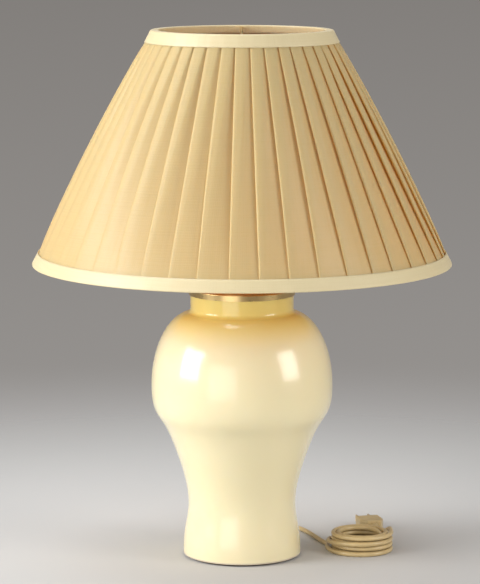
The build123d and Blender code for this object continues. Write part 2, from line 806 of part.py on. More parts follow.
def pleat_outline(z):
    """Outline of all the pleats at a height: a long face, a turned edge, a short step in."""
    crest = shade_radius(z, crest_inset)
    valley = shade_radius(z, valley_inset)
    pitch = 2 * pi / pleat_count
    points = []
    for number in range(pleat_count):
        start = number * pitch
        for radius, share in ((crest, 0), (crest, pleat_nose), (valley, pleat_return)):
            angle = start + share * pitch
            points.append((radius * cos(angle), radius * sin(angle)))
    return points


with BuildPart() as shade_pleats:
    for z in (skin_bottom, skin_top):
        with BuildSketch(Plane.XY.offset(z)):
            with BuildLine():
                Polyline(*pleat_outline(z), close=True)
            make_face()
    loft(ruled=True)
    for z in (skin_bottom, skin_top):
        with BuildSketch(Plane.XY.offset(z)):
            RegularPolygon(shade_radius(z, pleat_inset), inner_sides * pleat_count)
    loft(ruled=True, mode=Mode.SUBTRACT)
finish(shade_pleats.part, "shade_pleats")

with BuildPart() as shade_liner:
    with BuildSketch(Plane.XZ):
        add(cone_shell(skin_bottom, skin_top, liner_inset, liner_inner_inset))
    revolve(axis=Axis.Z)
finish(shade_liner.part, "shade_liner")


def wire_ring(z):
    """A hoop of wire inside the edge of the liner."""
    with BuildPart() as hoop:
        with BuildSketch(Plane.XZ):
            with Locations((shade_radius(z, ring_inset), z)):
                Circle(ring_wire_radius)
        revolve(axis=Axis.Z)
    return hoop.part


bottom_ring = wire_ring(bottom_ring_z)
finish(bottom_ring, "bottom_ring")
top_ring = wire_ring(top_ring_z)
finish(top_ring, "top_ring")

arm_start = spider_washer_radius - spider_arm_root
arm_start_z = washer_z + spider_washer_thickness / 2 + spider_arm_lift
arm_run = shade_radius(top_ring_z, ring_inset) - arm_start
arm_rise = top_ring_z - arm_start_z
arm_length = sqrt(arm_run**2 + arm_rise**2)
arm_plane = Plane(
    origin=(arm_start, 0, arm_start_z),
    z_dir=(arm_run, 0, arm_rise),
)


def spider_wires(radius):
    """The arms of the spider, running from its washer out to the top ring."""
    with BuildPart() as wires:
        with BuildSketch(arm_plane):
            Circle(radius)
        extrude(amount=arm_length)
    return [wires.part.rotate(Axis.Z, 90 + 360 / spider_arms * arm) for arm in range(spider_arms)]


with BuildPart() as shade_spider:
    add(spider_wires(spider_wire_radius))
    with BuildSketch(Plane.XY.offset(washer_z)):
        Circle(spider_washer_radius)
    extrude(amount=-2 * spider_wire_radius, mode=Mode.SUBTRACT)
    with BuildSketch(Plane.XY.offset(washer_z)):
        Circle(spider_washer_radius)
    extrude(amount=spider_washer_thickness)
    with BuildSketch(Plane.XY.offset(washer_z + spider_washer_thickness)):
        Circle(finial_radius + spider_face_margin)
    extrude(amount=2 * spider_wire_radius, mode=Mode.SUBTRACT)
    with BuildSketch(Plane.XY.offset(washer_z)):
        Circle(stud_radius + spider_bore_clearance)
    extrude(amount=spider_washer_thickness, mode=Mode.SUBTRACT)
    add(top_ring, mode=Mode.SUBTRACT)
finish(shade_spider.part, "shade_spider")


def trim_band(edge_z, direction):
    """A fabric tape folded over an edge of the shade: outer leg, edge and inner leg."""
    edge_in = edge_z + direction * trim_fabric
    outer_end = edge_z + direction * trim_width
    inner_end = edge_z + direction * trim_inner_width
    inner_face = trim_inner_inset + trim_fabric
    with BuildPart() as band:
        with BuildSketch(Plane.XZ):
            with BuildLine():
                Polyline(
                    (shade_radius(edge_z, 0), edge_z),
                    (shade_radius(outer_end, 0), outer_end),
                    (shade_radius(outer_end, crest_inset - tape_clearance), outer_end),
                    (shade_radius(edge_in, crest_inset - tape_clearance), edge_in),
                    (shade_radius(edge_in, trim_inner_inset), edge_in),
                    (shade_radius(inner_end, trim_inner_inset), inner_end),
                    (shade_radius(inner_end, inner_face), inner_end),
                    (shade_radius(edge_z, inner_face), edge_z),
                    close=True,
                )
            make_face()
        revolve(axis=Axis.Z)
    return band.part


bottom_trim = trim_band(shade_bottom, 1)
finish(bottom_trim, "bottom_trim")
with BuildPart() as top_trim:
    add(trim_band(shade_top, -1))
    add(spider_wires(spider_wire_radius + trim_notch_clearance), mode=Mode.SUBTRACT)
finish(top_trim.part, "top_trim")

# ---------------------------------------------------------------- finial
finial_z = washer_z + spider_washer_thickness + finial_gap
finial_bore_top = seat_z + stud_height + stud_end_gap
with BuildPart() as finial:
    with BuildSketch(Plane.XZ):
        with BuildLine():
            grip_top = finial_z + finial_grip_height
            crown_top = max(finial_z + finial_height, finial_bore_top + finial_cover)
            Polyline(
                (0, crown_top),
                (0, finial_z),
                (finial_radius, finial_z),
                (finial_radius, grip_top),
                (finial_neck_radius, grip_top + finial_step),
            )
            Spline(
                (finial_neck_radius, grip_top + finial_step),
                (0, crown_top),
                tangents=[(0, 1), (-1, 0)],
            )
        make_face()
    revolve(axis=Axis.Z)
    with BuildSketch(Plane.XY.offset(finial_z)):
        with PolarLocations(finial_radius, finial_knurls):
            Circle(finial_knurl_radius)
    extrude(amount=finial_grip_height, mode=Mode.SUBTRACT)
    with BuildSketch(Plane.XY.offset(finial_z)):
        Circle(stud_radius + finial_clearance)
    extrude(amount=finial_bore_top - finial_z, mode=Mode.SUBTRACT)
finish(finial.part, "finial")

# ---------------------------------------------------------------- cord inside the lamp
bushing_face = foot_radius + bushing_face_gap
bushing_back = bushing_face + bushing_flange_thickness
bushing_tip = bushing_back + bushing_nose_length
with BuildPart() as cord_bushing:
    with BuildSketch(Plane.YZ):
        with BuildLine():
            bore_z = cord_exit_height + cord_radius + bushing_cord_clearance
            bushing_in = recess_radius + bushing_inset
            Polyline(
                (bushing_in, bore_z),
                (bushing_in, cord_exit_height + bushing_radius),
                (bushing_face, cord_exit_height + bushing_radius),
                (bushing_face, cord_exit_height + bushing_flange_radius),
                (bushing_back, cord_exit_height + bushing_flange_radius),
                (bushing_back, cord_exit_height + bushing_radius),
                (bushing_tip, cord_exit_height + bushing_nose_radius),
                (bushing_tip, bore_z),
                close=True,
            )
        make_face()
    revolve(axis=Axis((0, 0, cord_exit_height), (0, 1, 0)))
finish(cord_bushing.part, "cord_bushing")

sheath_end = socket_z + cord_end_height
with BuildPart() as inner_cord:
    with BuildLine() as inner_route:
        FilletPolyline(
            (0, bushing_tip, cord_exit_height),
            (0, 0, cord_exit_height),
            (0, 0, sheath_end),
            radius=cord_inner_bend,
        )
    with BuildSketch(Plane.XZ.offset(-bushing_tip)):
        with Locations((0, cord_exit_height)):
            Circle(cord_radius)
    sweep(path=inner_route.wire())
finish(inner_cord.part, "inner_cord")

core_wire_x = core_wire_radius + core_wire_apart
core_wire_end_x = socket_core_flat + core_wire_radius + core_wire_flat_gap
core_wire_end_z = terminal_z - terminal_shank_radius - core_wire_screw_gap
core_wire_turn_z = (sheath_end + core_z) / 2
with BuildPart() as core_wires:
    with BuildLine(Plane.XZ) as wire_route:
        FilletPolyline(
            (core_wire_x, sheath_end),
            (core_wire_x, core_wire_turn_z),
            (core_wire_end_x, core_wire_turn_z + core_wire_rise),
            (core_wire_end_x, core_wire_end_z),
            radius=core_wire_bend,
        )
    with BuildSketch(Plane.XY.offset(sheath_end)):
        with Locations((core_wire_x, 0)):
            Circle(core_wire_radius)
    sweep(path=wire_route.wire())
    mirror(about=Plane.YZ)
finish(core_wires.part, "core_wires")

# ---------------------------------------------------------------- free cord: the coil
coil_pitch = 2 * cord_radius + coil_turn_gap
layer_pitch = 2 * cord_radius + coil_layer_gap
cord_floor = cord_radius + cord_table_gap
straight_end = 2 * cord_radius


def coil_point(turn):
    """Centre line of the coil after a number of turns from its start at the table."""
    layer, within = divmod(turn, coil_turns_per_layer)
    inward = within if layer % 2 == 0 else coil_turns_per_layer - within
    radius = coil_outer_radius - coil_pitch * inward
    nearest = round(turn / coil_turns_per_layer)
    climb = (turn - nearest * coil_turns_per_layer) / coil_climb + 0.5
    share = min(max(climb, 0), 1)
    level = nearest - 1 + share * share * (3 - 2 * share)
    if nearest == 0 or nearest == coil_layers:
        level = min(layer, coil_layers - 1)
    angle = pi + 2 * pi * turn
    return Vector(
        coil_centre_x + radius * cos(angle),
        coil_centre_y + radius * sin(angle),
        cord_floor + level * layer_pitch,
    )


def coil_direction(turn):
    """Direction of the centre line, level along the circle at both ends."""
    if turn == 0 or turn == coil_turns:
        angle = pi + 2 * pi * turn
        return Vector(-sin(angle), cos(angle), 0)
    step = 0.01
    return (coil_point(turn + step) - coil_point(turn - step)).normalized()


def biarc(start, start_direction, end, end_direction):
    """Joint of two arcs that leave and arrive along the given directions."""
    gap = end - start
    total = start_direction + end_direction
    share = 2 * (1 - start_direction.dot(end_direction))
    along = gap.dot(total)
    if share < 1e-9:
        reach = gap.dot(gap) / (2 * along)
    else:
        reach = (sqrt(along**2 + share * gap.dot(gap)) - along) / share
    return (start + start_direction * reach + end - end_direction * reach) * 0.5


coil_start = coil_point(0)
coil_end = coil_point(coil_turns)
coil_in = coil_start - coil_direction(0) * straight_end
coil_out = coil_end + coil_direction(coil_turns) * straight_end
with BuildPart() as cord_coil:
    with BuildLine() as coil_route:
        Line(coil_in, coil_start)
        for quarter in range(round(4 * coil_turns)):
            low, high = quarter / 4, (quarter + 1) / 4
            from_direction = coil_direction(low)
            to_direction = coil_direction(high)
            joint = biarc(coil_point(low), from_direction, coil_point(high), to_direction)
            first = TangentArc(coil_point(low), joint, tangent=from_direction)
            TangentArc(joint, coil_point(high), tangent=first % 1)
        Line(coil_end, coil_out)
    with BuildSketch(Plane(origin=coil_in, z_dir=coil_direction(0))):
        Circle(cord_radius)
    sweep(path=coil_route.wire())
finish(cord_coil.part, "cord_coil")

# ---------------------------------------------------------------- free cord: both stretches
lead_points = [
    Vector(0, bushing_tip, cord_exit_height),
    Vector(0, 95, cord_exit_height),
    Vector(9.5, 111.5, 5.4),
    Vector(28, 119, cord_floor + 0.1),
    Vector(47.5, 112, cord_floor + 0.05),
    Vector(61, 93.5, cord_floor),
    Vector(71, 68, cord_floor + 0.05),
    Vector(79, 42, cord_floor),
    Vector(coil_in.X, coil_in.Y + 12, cord_floor),
    coil_in,
]
plug_direction = Vector(cos(radians(plug_heading)), sin(radians(plug_heading)), 0)
plug_cord_z = plug_thickness / 2
plug_cord = Vector(plug_cord_x, plug_cord_y, plug_cord_z)
tail_points = [
    coil_out,
    Vector(coil_out.X, coil_out.Y + 16, coil_out.Z),
    Vector(coil_out.X - 2, coil_out.Y + 32, 11.2),
    plug_cord - plug_direction * plug_run,
    plug_cord,
]


def tube_radii(points):
    """Radius of the arc at each corner: as large as the shorter run there allows."""
    radii = []
    for before, corner, after in zip(points, points[1:], points[2:]):
        run_in = corner - before
        run_out = after - corner
        turn = radians(run_in.get_angle(run_out))
        radii.append(0.45 * min(run_in.length, run_out.length) / tan(turn / 2))
    return radii


def cord_tube(points):
    """A stretch of cord along straight runs joined by arcs."""
    with BuildPart() as tube:
        with BuildLine() as route:
            FilletPolyline(*points, radius=tube_radii(points))
        with BuildSketch(Plane(origin=points[0], z_dir=points[1] - points[0])):
            Circle(cord_radius)
        sweep(path=route.wire())
    return tube.part, route.wire().length


cord_lead, lead_length = cord_tube(lead_points)
finish(cord_lead, "cord_lead")
cord_tail, tail_length = cord_tube(tail_points)
finish(cord_tail, "cord_tail")

# ---------------------------------------------------------------- plug
plug_plane = Plane(origin=(plug_cord.X, plug_cord.Y, 0), x_dir=plug_direction, z_dir=(0, 0, 1))
with BuildPart() as plug_body:
    with BuildSketch(plug_plane):
        with BuildLine():
            Polyline(
                (plug_collar_length, -plug_waist_width / 2),
                (plug_collar_length + plug_shoulder_length, -plug_width / 2),
                (plug_collar_length + plug_length, -plug_width / 2),
                (plug_collar_length + plug_length, plug_width / 2),
                (plug_collar_length + plug_shoulder_length, plug_width / 2),
                (plug_collar_length, plug_waist_width / 2),
                close=True,
            )
        make_face()
    extrude(amount=plug_thickness)
    fillet(plug_body.edges().filter_by(Axis.Z), radius=plug_edge)
    fillet(plug_body.faces().sort_by(Axis.Z)[-1].edges(), radius=plug_edge)
    collar_plane = Plane(origin=plug_cord, z_dir=plug_direction)
    with BuildSketch(collar_plane):
        Circle(cord_radius + plug_collar_wall)
    with BuildSketch(collar_plane.offset(plug_collar_length + plug_collar_lap)):
        Circle(plug_collar_radius)
    loft()
    with BuildSketch(plug_plane.offset(plug_cord_z)):
        for blade_side in (-1, 1):
            with Locations((plug_collar_length + plug_length, blade_side * blade_spacing / 2)):
                Rectangle(2 * blade_root, blade_thickness)
    extrude(amount=blade_width / 2, both=True, mode=Mode.SUBTRACT)
finish(plug_body.part, "plug_body")

with BuildPart() as plug_blades:
    with BuildSketch(plug_plane.offset(plug_cord_z)):
        for blade_side in (-1, 1):
            with Locations((plug_collar_length + plug_length, blade_side * blade_spacing / 2)):
                with Locations((-blade_root, 0)):
                    Rectangle(
                        blade_root + blade_length,
                        blade_thickness,
                        align=(Align.MIN, Align.CENTER),
                    )
    extrude(amount=blade_width / 2, both=True)
    hole_along = plug_collar_length + plug_length + blade_hole_place
    hole_plane = Plane(
        origin=plug_cord + plug_direction * hole_along,
        x_dir=plug_direction,
        z_dir=plug_plane.y_dir,
    )
    with BuildSketch(hole_plane):
        Circle(blade_hole_radius)
    extrude(amount=plug_width, both=True, mode=Mode.SUBTRACT)
    blade_ends = plug_blades.faces().group_by(Axis(plug_cord, plug_direction))[-1]
    chamfer(blade_ends.edges().filter_by(Axis.Z), length=blade_thickness * 0.3)
finish(plug_blades.part, "plug_blades")

# ---------------------------------------------------------------- printed checks
coil_length = coil_route.wire().length
free_length = lead_length + coil_length + tail_length
section = pi * cord_radius**2
print("arc radii of the lead:", [round(r, 1) for r in tube_radii(lead_points)])
print("arc radii of the tail:", [round(r, 1) for r in tube_radii(tail_points)])
print("cord length outside the lamp:", round(free_length, 1), "of", cord_total_length)
for name, solid, length in (
    ("lead", cord_lead, lead_length),
    ("tail", cord_tail, tail_length),
    ("coil", cord_coil.part, coil_length),
):
    print("volume of the", name, "over section times length:", round(solid.volume / section / length, 4))

coil_samples = [coil_point(number / 48) for number in range(round(48 * coil_turns) + 1)]
least_gap = min(
    (one - other).length - 2 * cord_radius
    for number, one in enumerate(coil_samples)
    for other in coil_samples[number + 24:]
)
print("least gap of the coil to itself:", round(least_gap, 3))
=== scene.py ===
import random
from math import atan, cos, hypot, pi, radians, sin, tan

import bpy
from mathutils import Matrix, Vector


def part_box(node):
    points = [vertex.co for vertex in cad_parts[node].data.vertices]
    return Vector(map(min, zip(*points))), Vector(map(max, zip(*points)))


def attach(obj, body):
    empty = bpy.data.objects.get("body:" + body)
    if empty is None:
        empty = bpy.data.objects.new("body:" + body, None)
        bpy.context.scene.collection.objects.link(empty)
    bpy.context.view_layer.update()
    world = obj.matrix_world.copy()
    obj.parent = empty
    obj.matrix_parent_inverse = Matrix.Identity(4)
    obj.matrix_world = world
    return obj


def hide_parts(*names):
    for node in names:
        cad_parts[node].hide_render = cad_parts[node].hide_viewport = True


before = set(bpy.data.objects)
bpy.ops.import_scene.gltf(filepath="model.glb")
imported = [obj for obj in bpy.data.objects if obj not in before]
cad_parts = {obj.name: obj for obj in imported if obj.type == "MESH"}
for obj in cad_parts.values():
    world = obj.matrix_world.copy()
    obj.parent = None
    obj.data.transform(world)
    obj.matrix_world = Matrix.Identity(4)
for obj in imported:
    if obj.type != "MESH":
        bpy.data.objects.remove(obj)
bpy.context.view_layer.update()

# A ginger jar table lamp, in metres, in the frame of its CAD model: the origin is on the
# table under the middle of the jar, +Z is up and the camera stands on the -Y side.

MM = 0.001

# ---------------------------------------------------------------- camera
FRAME_WIDTH, FRAME_HEIGHT = 480, 584    # the photograph, in pixels
LAMP_AXIS_X = 242.0                     # pixel column of the lamp's axis
FOOT_Y = 553.0                          # pixel row of the middle of the foot
FRAME_SPAN = 0.565                      # height of the frame at the lamp's axis
CAMERA_DISTANCE = 2.7
CAMERA_PITCH = radians(8.4)             # downwards, at the middle of the frame
LONG_SIDE = 36.0                        # of the sensor, in millimetres


def place_camera():
    """The photograph's point of view, looking along +Y and slightly down."""
    half_view = atan(FRAME_SPAN / 2 / CAMERA_DISTANCE)
    pixel = FRAME_SPAN / FRAME_HEIGHT
    foot_angle = CAMERA_PITCH + atan((FOOT_Y - FRAME_HEIGHT / 2) * pixel / CAMERA_DISTANCE)
    back = CAMERA_DISTANCE * cos(CAMERA_PITCH)
    data = bpy.data.cameras.new("camera")
    data.sensor_width = LONG_SIDE
    data.lens = LONG_SIDE / 2 / tan(half_view)
    camera = bpy.data.objects.new("camera", data)
    camera.location = (-(LAMP_AXIS_X - FRAME_WIDTH / 2) * pixel, -back, back * tan(foot_angle))
    camera.rotation_euler = (pi / 2 - CAMERA_PITCH, 0, 0)
    bpy.context.scene.collection.objects.link(camera)
    bpy.context.scene.camera = camera


place_camera()


# ---------------------------------------------------------------- material nodes
def add_node(tree, kind, inputs=(), **settings):
    """A new node with its settings; an input is a value or the output that feeds it."""
    node = tree.nodes.new("ShaderNode" + kind)
    for name, value in settings.items():
        setattr(node, name, value)
    for name, value in dict(inputs).items():
        if isinstance(value, bpy.types.NodeSocket):
            tree.links.new(value, node.inputs[name])
        else:
            node.inputs[name].default_value = value
    return node


def ramp(tree, factor, stops, easing="LINEAR"):
    """A colour ramp over factor; stops are (place, colour)."""
    node = add_node(tree, "ValToRGB", {"Fac": factor})
    node.color_ramp.interpolation = easing
    while len(node.color_ramp.elements) < len(stops):
        node.color_ramp.elements.new(0.5)
    for element, (place, colour) in zip(node.color_ramp.elements, stops):
        element.position = place
        element.color = (*colour, 1)
    return node.outputs["Color"]


def level(tree, factor, low, high):
    """Stretches a factor of 0 to 1 to the range from low to high."""
    inputs = {"Value": factor, "To Min": low, "To Max": high}
    return add_node(tree, "MapRange", inputs).outputs["Result"]


def noise(tree, place, scale, detail=2.0, roughness=0.5):
    inputs = {"Vector": place, "Scale": scale, "Detail": detail, "Roughness": roughness}
    return add_node(tree, "TexNoise", inputs).outputs["Fac"]


def bump(tree, height, depth, strength=1.0, normal=None):
    """A bump of that depth in metres, on top of another one if normal is given."""
    inputs = {"Height": height, "Distance": depth, "Strength": strength}
    if normal is not None:
        inputs["Normal"] = normal
    return add_node(tree, "Bump", inputs).outputs["Normal"]


def shader(name, **sockets):
    """A material with a Principled shader, and the sockets' constant values."""
    material = bpy.data.materials.new(name)
    material.use_nodes = True
    tree = material.node_tree
    principled = tree.nodes["Principled BSDF"]
    for socket, value in sockets.items():
        principled.inputs[socket.replace("_", " ")].default_value = value
    place = tree.nodes.new("ShaderNodeTexCoord").outputs["Object"]
    return material, tree, principled, place


def tint(colour, factor):
    return tuple(min(1.0, channel * factor) for channel in colour)


def mix_surface(tree, share, first, second):
    """Gives a material's surface two shaders; share is the second one's."""
    inputs = {0: share, 1: first.outputs["BSDF"], 2: second.outputs["BSDF"]}
    mixed = add_node(tree, "MixShader", inputs)
    tree.links.new(mixed.outputs["Shader"], tree.nodes["Material Output"].inputs["Surface"])


def looking_rays(tree):
    """1 for the rays that show the backdrop: straight, in a gloss or through a piece."""
    rays = tree.nodes.new("ShaderNodeLightPath").outputs
    seen = rays["Is Camera Ray"]
    for kind in ("Is Glossy Ray", "Is Transmission Ray"):
        both = add_node(tree, "Math", {0: seen, 1: rays[kind]}, operation="MAXIMUM")
        seen = both.outputs["Value"]
    return seen


def mottled(name, colour, roughness, grain, spread=0.12, depth=0.00002, **sockets):
    """A finish with cloudy colour, uneven gloss and a fine bump; grain is its size."""
    material, tree, principled, place = shader(name, **sockets)
    cloud = noise(tree, place, 0.35 / grain, 4.0)
    fine = noise(tree, place, 1 / grain, 3.0, 0.6)
    stops = [(0.3, tint(colour, 1 - spread)), (0.7, tint(colour, 1 + spread))]
    tree.links.new(ramp(tree, cloud, stops), principled.inputs["Base Color"])
    gloss = level(tree, fine, roughness * 0.75, min(1.0, roughness * 1.3))
    tree.links.new(gloss, principled.inputs["Roughness"])
    tree.links.new(bump(tree, fine, depth), principled.inputs["Normal"])
    return material


# ---------------------------------------------------------------- colours, linear
GLAZE = (0.88, 0.76, 0.46)
GLAZE_THICK = (0.91, 0.80, 0.52)
NECK_PAINTED_LIGHT = (0.97, 0.77, 0.23)         # painted golden light on the neck, where warm light through the shade falls
NECK_LIGHT_FADE = (0.212, 0.244)              # heights between which the painted light fades in, going up
BARE_EDGE = (3.4 * MM, 3.0 * MM)        # heights between which it gives way to the foot
GLAZE_GLOSS = (0.21, 0.265)             # its least and greatest roughness
BISCUIT = (0.62, 0.52, 0.38)
CLOTH = (0.84, 0.78, 0.43)
CLOTH_SLUB = (0.90, 0.85, 0.52)
CLOTH_THROUGH = (0.97, 0.75, 0.24)
TAPE = (0.88, 0.76, 0.45)
TAPE_SLUB = (0.93, 0.82, 0.53)
BACKING = (0.94, 0.73, 0.31)
BACKING_THROUGH = (0.98, 0.75, 0.29)
FLEX = (0.60, 0.45, 0.22)
BRASS = (0.80, 0.58, 0.26)
STEEL = (0.60, 0.60, 0.58)
FLOOR = (0.58, 0.573, 0.56)
FLOOR_EDGE = (0.1, 1.15)                # radii between which it runs into the backdrop
BACKDROP_LOW = (0.30, 0.285, 0.272)
BACKDROP_HIGH = (0.225, 0.212, 0.20)
BACKDROP_RISE = (-0.18, -0.04)          # upward parts of the view between which it darkens
SKY = (0.93, 0.96, 1.0)                 # the light that comes from all round
SKY_STRENGTH = 0.42
CLOTH_SHARE = 0.57                      # of the light on it that goes through, not back
TAPE_SHARE = 0.25
BACKING_SHARE = 0.75
THREAD, TAPE_THREAD = 0.0007, 0.0006    # width of one, in metres
THREAD_RELIEF, SLUB_RELIEF = 0.18, 0.35     # depths, as shares of a thread's width
SLUB_GRAIN = (900, 14, 1)               # to the metre across the cloth and along it
WEFT_GRAIN = (14, 700, 1)
BRUSH_GRAIN = (60, 60, 2600)            # to the metre along x, y and z
WAVE_UNIT = 0.314                       # a wave texture's scale for bands 1 m apart


def glaze_material():
    """Cream glaze with golden light painted on the neck, where warm light through the shade falls,
    over a bare foot ring.
    """
    material, tree, principled, place = shader(
        "glaze",
        Coat_Weight=0.6,
        Coat_Roughness=0.13,
        Subsurface_Weight=0.12,
        Subsurface_Radius=(0.012, 0.008, 0.004),
        Subsurface_Scale=1.0,
    )
    cloud = noise(tree, place, 9.0, 2.0)
    glaze = ramp(tree, cloud, [(0.0, tint(GLAZE, 0.97)), (1.0, GLAZE_THICK)])
    height = add_node(tree, "SeparateXYZ", {"Vector": place}).outputs["Z"]
    # painted light: the glaze turns golden up the neck, standing in for warm light that comes
    # through the shade
    neck = {"Value": height, "From Min": NECK_LIGHT_FADE[0], "From Max": NECK_LIGHT_FADE[1]}
    neck_light_share = add_node(tree, "MapRange", neck, interpolation_type="SMOOTHSTEP").outputs["Result"]
    inputs = {"Fac": neck_light_share, "Color1": glaze, "Color2": (*NECK_PAINTED_LIGHT, 1)}
    glaze = add_node(tree, "MixRGB", inputs).outputs["Color"]
    bare_edge = {"Value": height, "From Min": BARE_EDGE[0], "From Max": BARE_EDGE[1]}
    bare = add_node(tree, "MapRange", bare_edge).outputs["Result"]
    colour = add_node(tree, "MixRGB", {"Fac": bare, "Color1": glaze, "Color2": (*BISCUIT, 1)})
    tree.links.new(colour.outputs["Color"], principled.inputs["Base Color"])
    ripple = noise(tree, place, 45.0, 1.0)
    gloss = level(tree, noise(tree, place, 20.0, 1.0), *GLAZE_GLOSS)
    rough = add_node(tree, "MixRGB", {"Fac": bare, "Color1": gloss, "Color2": (0.9, 0.9, 0.9, 1)})
    tree.links.new(rough.outputs["Color"], principled.inputs["Roughness"])
    tree.links.new(bump(tree, ripple, 0.00005, 0.6), principled.inputs["Normal"])
    return material


def woven(name, colour, light, through, share, thread, rib=1.0):
    """Cloth that light comes through: fine threads, slubs along them and a soft nap."""
    material, tree, principled, _ = shader(
        name,
        Roughness=0.38,
        Sheen_Weight=0.2,
        Sheen_Roughness=0.35,
        Specular_IOR_Level=1.0,
    )
    place = add_node(tree, "Attribute", attribute_name="cloth_place").outputs["Vector"]
    across = add_node(tree, "Mapping", {"Vector": place, "Scale": SLUB_GRAIN}).outputs["Vector"]
    along = add_node(tree, "Mapping", {"Vector": place, "Scale": WEFT_GRAIN}).outputs["Vector"]
    slub = noise(tree, across, 1.0, 2.0)
    weft = noise(tree, along, 1.0, 2.0)
    both = add_node(tree, "Math", {0: slub, 1: weft}, operation="ADD").outputs["Value"]
    colour_out = ramp(tree, level(tree, both, -0.5, 0.5), [(0.35, colour), (0.7, light)])
    tree.links.new(colour_out, principled.inputs["Base Color"])
    waves = {}
    for direction, scale in (("X", WAVE_UNIT / thread), ("Y", WAVE_UNIT / thread * rib)):
        inputs = {"Vector": place, "Scale": scale}
        wave = add_node(tree, "TexWave", inputs, bands_direction=direction)
        waves[direction] = wave.outputs["Fac"]
    inputs = {0: waves["X"], 1: waves["Y"]}
    threads = add_node(tree, "Math", inputs, operation="MULTIPLY").outputs["Value"]
    normal = bump(tree, threads, thread * THREAD_RELIEF, 0.5)
    normal = bump(tree, both, thread * SLUB_RELIEF, 0.5, normal)
    tree.links.new(normal, principled.inputs["Normal"])
    glow = add_node(tree, "BsdfTranslucent", {"Color": (*through, 1), "Normal": normal})
    mix_surface(tree, share, principled, glow)
    return material


def backing_material():
    """The thin stiff sheet behind the pleats: smooth, creamy and lit through."""
    material, tree, principled, place = shader(
        "shade_backing", Roughness=0.5, Specular_IOR_Level=0.35
    )
    cloud = noise(tree, place, 40.0, 3.0)
    stops = [(0.3, tint(BACKING, 0.96)), (0.7, tint(BACKING, 1.04))]
    tree.links.new(ramp(tree, cloud, stops), principled.inputs["Base Color"])
    fine = bump(tree, noise(tree, place, 900.0, 2.0), 0.00003, 0.5)
    tree.links.new(fine, principled.inputs["Normal"])
    glow = add_node(tree, "BsdfTranslucent", {"Color": (*BACKING_THROUGH, 1)})
    mix_surface(tree, BACKING_SHARE, principled, glow)
    return material


def brushed(name, colour, roughness, spots):
    """Metal with fine scratches round it and a few duller spots."""
    material, tree, principled, place = shader(name, Metallic=1.0)
    turned = add_node(tree, "Mapping", {"Vector": place, "Scale": BRUSH_GRAIN})
    lines = noise(tree, turned.outputs["Vector"], 1.0, 2.0)
    cloud = noise(tree, place, 90.0, 4.0)
    stops = [(0.35, tint(colour, 1 - spots)), (0.6, colour), (0.8, tint(colour, 1.08))]
    tree.links.new(ramp(tree, cloud, stops), principled.inputs["Base Color"])
    both = add_node(tree, "Math", {0: lines, 1: cloud}, operation="ADD").outputs["Value"]
    tree.links.new(
        level(tree, both, roughness - 0.12, roughness), principled.inputs["Roughness"]
    )
    tree.links.new(bump(tree, lines, 0.00001, 0.4), principled.inputs["Normal"])
    return material


def floor_material():
    """Pale paper on the table, that runs into the grey backdrop further out."""
    material, tree, principled, place = shader("paper", Roughness=0.9, Specular_IOR_Level=0.1)
    cloud = noise(tree, place, 3.0, 3.0)
    stops = [(0.3, tint(FLOOR, 0.99)), (0.7, tint(FLOOR, 1.01))]
    tree.links.new(ramp(tree, cloud, stops), principled.inputs["Base Color"])
    reach = add_node(tree, "VectorMath", {0: place}, operation="LENGTH").outputs["Value"]
    edge = {"Value": reach, "From Min": FLOOR_EDGE[0], "From Max": FLOOR_EDGE[1]}
    far = add_node(tree, "MapRange", edge, interpolation_type="SMOOTHSTEP").outputs["Result"]
    inputs = {0: far, 1: looking_rays(tree)}
    gone = add_node(tree, "Math", inputs, operation="MULTIPLY").outputs["Value"]
    mix_surface(tree, gone, principled, add_node(tree, "BsdfTransparent"))
    return material


cloth_material = woven("pleated_cloth", CLOTH, CLOTH_SLUB, CLOTH_THROUGH, CLOTH_SHARE, THREAD)
tape_material = woven(
    "trim_tape", TAPE, TAPE_SLUB, CLOTH_THROUGH, TAPE_SHARE, TAPE_THREAD, rib=2.2
)
flex_material = mottled(
    "gold_flex", FLEX, 0.33, 0.004, 0.08, Coat_Weight=0.25, Coat_Roughness=0.2
)
brass_material = brushed("polished_brass", BRASS, 0.30, 0.10)
steel_material = brushed("zinc_steel", STEEL, 0.42, 0.08)
felt_material = mottled(
    "felt", (0.055, 0.035, 0.022), 0.95, 0.0012, 0.3, 0.0004, Sheen_Weight=0.4
)

node_materials = {
    "jar": glaze_material(),
    "cord_bushing": flex_material,
    "plug_body": mottled("plug_plastic", tint(FLEX, 0.9), 0.36, 0.003, 0.06),
    "insulating_sleeve": mottled("card", (0.20, 0.12, 0.06), 0.85, 0.002, 0.2),
    "bulb_globe": mottled(
        "bulb_glass",
        (0.86, 0.85, 0.81),
        0.22,
        0.02,
        0.02,
        Coat_Weight=0.5,
        Coat_Roughness=0.04,
        Subsurface_Weight=0.4,
        Subsurface_Radius=(0.01, 0.01, 0.01),
        Subsurface_Scale=1.0,
    ),
    "bulb_cap": brushed("bulb_aluminium", (0.72, 0.72, 0.71), 0.38, 0.06),
    "core_wires": mottled("core_insulation", (0.12, 0.07, 0.03), 0.5, 0.002, 0.1),
}
phenolic = mottled("dark_resin", (0.028, 0.018, 0.014), 0.25, 0.003, 0.2, Coat_Weight=0.3)
ring_paint = mottled("ring_wire", (0.78, 0.75, 0.68), 0.4, 0.002, 0.05)
for node in ("socket_core", "switch_knob", "bulb_base"):
    node_materials[node] = phenolic
for node in ("top_ring", "bottom_ring"):
    node_materials[node] = ring_paint
for node in ("lamp_pipe", "plate_washer", "lock_washer", "bottom_nut", "set_screw"):
    node_materials[node] = steel_material
for node, cad_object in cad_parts.items():
    cad_object.data.materials.clear()
    cad_object.data.materials.append(node_materials.get(node, brass_material))


